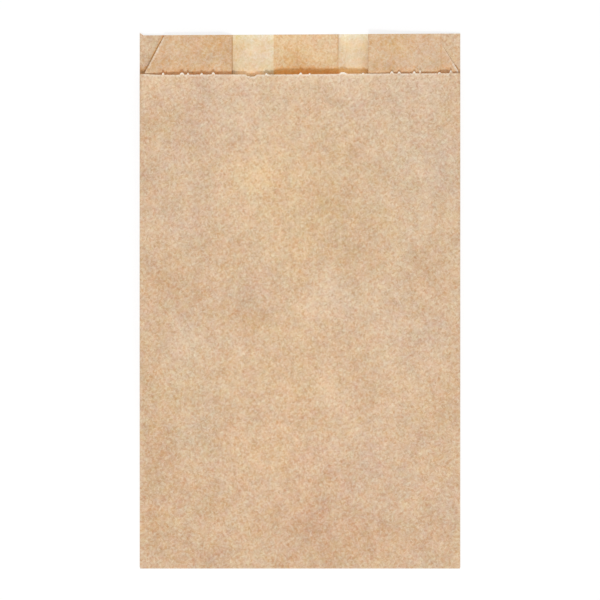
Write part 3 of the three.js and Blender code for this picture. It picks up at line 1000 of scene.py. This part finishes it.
class Shading:
    """Adds nodes to one node tree and joins them."""

    def __init__(self, tree):
        self.tree = tree
        tree.nodes.clear()

    def add(self, kind, inputs=None, **settings):
        """A new node, with its inputs joined to sockets or set to values."""
        made = self.tree.nodes.new(kind)
        for key, value in settings.items():
            setattr(made, key, value)
        for key, value in (inputs or {}).items():
            if isinstance(value, bpy.types.NodeSocket):
                self.tree.links.new(value, made.inputs[key])
            else:
                made.inputs[key].default_value = value
        return made

    def mark(self, name):
        """A mark that the mesh carries."""
        return self.add("ShaderNodeAttribute", attribute_name=name).outputs["Fac"]

    def math(self, operation, *values):
        return self.add("ShaderNodeMath", dict(enumerate(values)), operation=operation).outputs[0]

    def times(self, first, second):
        return self.math("MULTIPLY", first, second)

    def vector(self, operation, first, second):
        inputs = {0: first, 1: second}
        return self.add("ShaderNodeVectorMath", inputs, operation=operation).outputs[0]

    def scaled(self, vector, scale):
        inputs = {0: vector, "Scale": scale}
        return self.add("ShaderNodeVectorMath", inputs, operation="SCALE").outputs[0]

    def total(self, *values):
        result = values[0]
        for value in values[1:]:
            result = self.math("ADD", result, value)
        return result

    def mix(self, share, first, second):
        """The colour that lies a share of the way from the first to the second."""
        inputs = {0: share, 6: first, 7: second}
        return self.add("ShaderNodeMix", inputs, data_type="RGBA").outputs[2]

    def shifted(self, where, shift):
        return self.vector("ADD", where, (*shift, 0.0))

    def noise(self, where, noise):
        """Noise about zero."""
        inputs = {
            "Vector": self.shifted(where, noise.shift), "Scale": noise.waves,
            "Detail": noise.detail, "Roughness": noise.roughness, "Distortion": noise.distortion,
        }
        made = self.add("ShaderNodeTexNoise", inputs, noise_dimensions="2D")
        return self.math("SUBTRACT", made.outputs[0], 0.5)

    def ramp(self, value, low, high):
        """0 where the value is at low, 1 where it is at high, smooth between them."""
        inputs = {"Value": value, "From Min": low, "From Max": high}
        return self.add("ShaderNodeMapRange", inputs, interpolation_type="SMOOTHSTEP").outputs[0]

    def shives(self, where, shives):
        """Short dashes in some of the places that the shives have for them."""
        drawn = self.vector("MULTIPLY", self.shifted(where, shives.shift), (*shives.pitch, 1.0))
        inputs = {"Vector": drawn, "Scale": 1.0}
        cell = self.add("ShaderNodeTexVoronoi", inputs, voronoi_dimensions="2D")
        chance = self.add("ShaderNodeSeparateColor", {0: cell.outputs["Color"]}).outputs[0]
        chosen = self.math("LESS_THAN", chance, SHIVE_CHANCE)
        return self.times(chosen, self.ramp(cell.outputs["Distance"], *SHIVE_FADE))


def opaque(rgb):
    return (*rgb, 1.0)


def grey(value):
    return opaque((value, value, value))


def mottling(s, where, pulp, fibres):
    """How much the pulp, its clouds, the stains and the painted light and shade lighten, warm or
    redden the paper's colours.
    """
    def shown(noise, share):
        return s.times(s.noise(where, noise), share)

    fine = s.total(
        s.times(pulp, PULP_SHOWN),
        shown(FLOCKS, FLOCKS_SHOWN),
        s.times(fibres, FIBRES_SHOWN),
    )
    broad = s.total(s.mark("lightness"), shown(CLOUDS, CLOUDS_SHOWN))
    warmth = s.total(
        s.mark("warmth"),
        shown(WARM_FLOCKS, WARM_FLOCKS_SHOWN),
        shown(WARM_CLOUDS, WARM_CLOUDS_SHOWN),
    )
    pinkness = s.total(s.mark("pinkness"), shown(BLUSHES, BLUSHES_SHOWN))
    by_face = s.mix(s.mark("inside"), opaque(TONE_OUTSIDE), opaque(TONE_INSIDE))
    by_ply = s.mix(s.mark("single_ply"), by_face, opaque(TONE_SINGLE))
    gain = (1.0, 1.0, 1.0)
    for tint, strength in ((by_ply, fine), (TONE_BROAD, broad), (WARM, warmth), (PINK, pinkness)):
        gain = s.vector("ADD", gain, s.scaled(tint, strength))
    return gain


def ply_colours(s, colours, pulp):
    """The paper's colours by face and ply, with painted shade beside covering edges and painted
    warm light beyond it.
    """
    names = PaperColours.__annotations__
    c = SimpleNamespace(**{name: opaque(getattr(colours, name)) for name in names})
    inside, seam, single = (s.mark(name) for name in ("inside", "seam_ply", "single_ply"))
    corner, below_lip = s.mark("corner"), s.mark("below_lip")
    near = s.total(s.mark("beyond_cover"), s.times(pulp, SHADE_WANDER))
    upper_corner = s.times(corner, s.ramp(below_lip, *CORNER_SHADE))
    near = s.math("MULTIPLY_ADD", upper_corner, CLEAR, near)

    # Painted warm light just beyond the painted shade
    inner_face = s.mix(s.ramp(near, *PAINTED_WARMTH), c.inside, c.painted_warm_light)
    plain = s.mix(inside, c.outside, inner_face)
    # Painted light through the single ply
    pale = s.mix(s.ramp(below_lip, *PALE_TOP), c.single, c.bright)
    lit = s.mix(single, s.mix(seam, plain, c.seam), pale)

    # Painted shade beside the covering edges, mixed in by how near the paper lies to them
    painted_shade = s.mix(inside, s.mix(corner, c.painted_shade_outside, c.painted_shade_corner), c.painted_shade)
    painted_shade = s.mix(single, s.mix(seam, painted_shade, c.painted_shade_seam), c.painted_shade_single)
    painted_shade_share = s.times(s.ramp(near, *SHADED), s.ramp(near, *UNDER_COVER))
    painted_shade_share = s.times(painted_shade_share, s.math("SUBTRACT", 1.0, s.mark("airy")))
    return s.mix(s.mark("streak"), s.mix(painted_shade_share, lit, painted_shade), c.pressed)


def kraft_paper(colours):
    """Brown kraft: mottled pulp, fibres and shives; paler where torn or cut, the cut with a painted
    highlight, and a single ply paler with painted light through it.
    """
    material = bpy.data.materials.new("kraft_paper")
    material.use_nodes = True
    s = Shading(material.node_tree)
    where = s.add("ShaderNodeAttribute", attribute_name="place").outputs["Vector"]
    pulp = s.noise(where, PULP)
    curls = s.ramp(s.math("ABSOLUTE", s.noise(where, CURLS)), *CURL_FADE)
    fibres = s.times(curls, s.ramp(s.noise(where, BREAKS), *BREAK_FADE))
    mottled = s.vector("MULTIPLY", ply_colours(s, colours, pulp), mottling(s, where, pulp, fibres))

    by_face = s.math("MULTIPLY_ADD", s.mark("inside"), SHIVES_INSIDE, SHIVES_SHOWN)
    by_ply = s.math("MULTIPLY_ADD", s.mark("single_ply"), SHIVES_SINGLE, by_face)
    dashes = s.math("MAXIMUM", *(s.shives(where, shives) for shives in SHIVES))
    specked = s.mix(s.times(dashes, by_ply), mottled, opaque(colours.shive))
    # The pale rim of a cut: bare fibres with a painted highlight
    cut = s.times(s.mark("cut"), s.math("MULTIPLY_ADD", pulp, CUT_PATCHES, CUT_BARE_AND_HIGHLIGHT))
    bare_and_highlight = s.total(cut, s.times(s.mark("torn"), TEAR_BARE))

    height = s.total(pulp, s.times(fibres, FIBRE_RELIEF))
    relief = s.add("ShaderNodeBump", {"Height": height, "Strength": 1.0, "Distance": RELIEF * MM})
    paper = s.add("ShaderNodeBsdfPrincipled", {
        "Base Color": s.mix(bare_and_highlight, specked, opaque(colours.fibre)),
        "Roughness": s.math("MULTIPLY_ADD", pulp, ROUGH_PATCHES, ROUGHNESS),
        "Specular IOR Level": GLOSS,
        "Normal": relief.outputs[0],
    })
    s.add("ShaderNodeOutputMaterial", {"Surface": paper.outputs[0]})
    return material


def by_sight(s, seen, unseen):
    """One shader where it is looked at, in a gloss or through glass too, and another for light."""
    path = s.add("ShaderNodeLightPath").outputs
    direct = s.math("MAXIMUM", path["Is Camera Ray"], path["Is Glossy Ray"])
    direct = s.math("MAXIMUM", direct, path["Is Transmission Ray"])
    return s.add("ShaderNodeMixShader", {0: direct, 1: unseen.outputs[0], 2: seen.outputs[0]})


def floor_finish():
    """White to look at, with the bag's faint shadow, and a plain pale floor to every other ray."""
    material = bpy.data.materials.new("pale_floor")
    material.use_nodes = True
    s = Shading(material.node_tree)
    pale = s.add("ShaderNodeBsdfDiffuse", {"Color": grey(FLOOR_GREY)})
    shadowed = s.add("ShaderNodeBsdfDiffuse", {"Color": grey(FLOOR_SEEN_GREY)})
    glow = s.add("ShaderNodeEmission", {"Color": grey(1.0), "Strength": FLOOR_WHITE})
    white = s.add("ShaderNodeAddShader", {0: shadowed.outputs[0], 1: glow.outputs[0]})
    s.add("ShaderNodeOutputMaterial", {"Surface": by_sight(s, white, pale).outputs[0]})
    return material


def surroundings(fill):
    """Even light from all round, and white where it is seen."""
    world = bpy.data.worlds.new("studio")
    world.use_nodes = True
    s = Shading(world.node_tree)
    light = s.add("ShaderNodeBackground", {"Color": grey(1.0), "Strength": fill})
    white = s.add("ShaderNodeBackground", {"Color": grey(1.0), "Strength": 1.0})
    s.add("ShaderNodeOutputWorld", {"Surface": by_sight(s, white, light).outputs[0]})
    return world


def put(context, name, data):
    """A new object in the scene."""
    made = bpy.data.objects.new(name, data)
    context.scene.collection.objects.link(made)
    return made


def lay_floor(context, look):
    """A wide floor just below the bag."""
    side = look.floor / 2
    corners = [(-side, -side, 0.0), (side, -side, 0.0), (side, side, 0.0), (-side, side, 0.0)]
    mesh = bpy.data.meshes.new("floor")
    mesh.from_pydata(corners, [], [(0, 1, 2, 3)])
    mesh.materials.append(floor_finish())
    floor = put(context, "floor", mesh)
    floor.location.z = -FLOOR_DROP * MM


def hang_key(context, look):
    """A soft lamp that lights the bag with its share, wherever it hangs."""
    toward = Vector(KEY_FROM).normalized()
    lamp = bpy.data.lights.new("key", "AREA")
    lamp.shape = "DISK"
    lamp.size = KEY_WIDTH
    lamp.energy = look.key * math.pi ** 2 * KEY_AWAY ** 2 / toward.z
    key = put(context, "key", lamp)
    key.location = toward * KEY_AWAY
    key.rotation_euler = toward.to_track_quat("Z", "Y").to_euler()


def soak_front(context, look):
    """Warm light from under the front's edge, in place of what soaks through thin paper."""
    for middle, sides, tilt, strength in SOAKED:
        lamp = bpy.data.lights.new("soaked", "AREA")
        lamp.shape = "RECTANGLE"
        lamp.size, lamp.size_y = (side * MM for side in sides)
        lamp.spread = SOAKED_BEAM
        lamp.color = SOAKED_TINT
        lamp.energy = strength * look.glow * math.pi * lamp.size * lamp.size_y
        soaked = put(context, "soaked", lamp)
        soaked.location = [place * MM for place in middle]
        soaked.rotation_euler.x = tilt
        soaked.visible_camera = False


def aim_camera(context, look):
    """A long lens straight above the bag."""
    lens = bpy.data.cameras.new("camera")
    lens.lens = look.lens / MM
    lens.sensor_width = look.sensor / MM
    camera = put(context, "camera", lens)
    camera.location = (0.0, look.aim, look.field * look.lens / look.sensor)
    context.scene.camera = camera


class PASTRY_BAG_OT_fold_sheet(bpy.types.Operator):
    """Fold the kraft sheet into the bag that lies in the frame"""

    bl_idname = "pastry_bag.fold_sheet"
    bl_label = "Fold the sheet"

    def execute(self, context):
        settings = context.scene.pastry_bag
        form = FoldedSheet(settings.sheet, settings.springs)
        layout = sheet_layout(form)
        mesh = thick_mesh("folded_sheet", layout, form.paper)
        mesh.materials.append(kraft_paper(settings.colours))
        piece = put(context, "folded_sheet", mesh)
        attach(piece, "root")
        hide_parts("paper_bag")
        return {"FINISHED"}


class PASTRY_BAG_OT_set_stage(bpy.types.Operator):
    """Set the floor, the lamps and the camera round the bag"""

    bl_idname = "pastry_bag.set_stage"
    bl_label = "Set the stage"

    def execute(self, context):
        look = context.scene.pastry_bag.stage
        lay_floor(context, look)
        context.scene.world = surroundings(look.fill)
        hang_key(context, look)
        soak_front(context, look)
        aim_camera(context, look)
        context.scene.view_settings.view_transform = "Standard"
        return {"FINISHED"}


class PASTRY_BAG_PT_panel(bpy.types.Panel):
    """The bag's sizes and colours, and the steps that make it"""

    bl_label = "Pastry bag"
    bl_idname = "PASTRY_BAG_PT_panel"
    bl_space_type = "VIEW_3D"
    bl_region_type = "UI"
    bl_category = "Pastry bag"

    def draw(self, context):
        settings = context.scene.pastry_bag
        for name in BagSettings.__annotations__:
            group = getattr(settings, name)
            box = self.layout.box()
            box.label(text=name.capitalize())
            for size in type(group).__annotations__:
                box.prop(group, size)
        for step in STEPS:
            self.layout.operator(step.bl_idname)


GROUPS = (SheetSizes, FoldSprings, PaperColours, StageLook, BagSettings)
STEPS = (PASTRY_BAG_OT_fold_sheet, PASTRY_BAG_OT_set_stage)
CLASSES = (*GROUPS, *STEPS, PASTRY_BAG_PT_panel)


def register():
    for cls in CLASSES:
        bpy.utils.register_class(cls)
    bpy.types.Scene.pastry_bag = bpy.props.PointerProperty(type=BagSettings)


def unregister():
    del bpy.types.Scene.pastry_bag
    for cls in reversed(CLASSES):
        bpy.utils.unregister_class(cls)


def main():
    register()
    bpy.ops.pastry_bag.fold_sheet()
    bpy.ops.pastry_bag.set_stage()


if __name__ == "__main__":
    main()
